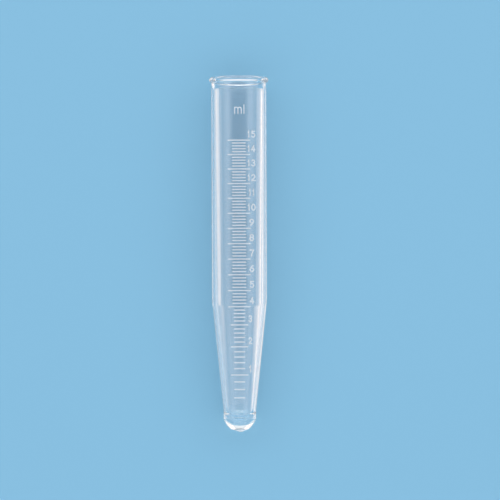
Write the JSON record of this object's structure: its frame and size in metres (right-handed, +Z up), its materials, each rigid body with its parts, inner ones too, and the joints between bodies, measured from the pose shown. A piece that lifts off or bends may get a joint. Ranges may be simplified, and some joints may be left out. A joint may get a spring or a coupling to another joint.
{
  "type": "conical centrifuge tube",
  "caption": "Clear moulded tube with a beaded open mouth, a straight graduated barrel and a graduated cone ending in a small rounded bottom, for spinning and measuring liquid samples.",
  "frame": {"origin": "on the bench under the tube as it lies, at the middle of its length: the bottom centre of its box", "axes": "+Y along the tube towards its mouth, leaning up by the 0.58 degrees at which it rests on its rim bead and its shoulder; +Z up, through the graduated side; +X to the side on which the numbers stand"},
  "size_m": [0.0198, 0.1192, 0.0199],
  "materials": {
    "clear_polystyrene": "clear, polished moulded"
  },
  "bodies": {
    "root": {"conical_tube": "clear_polystyrene"}
  },
  "joints": []
}
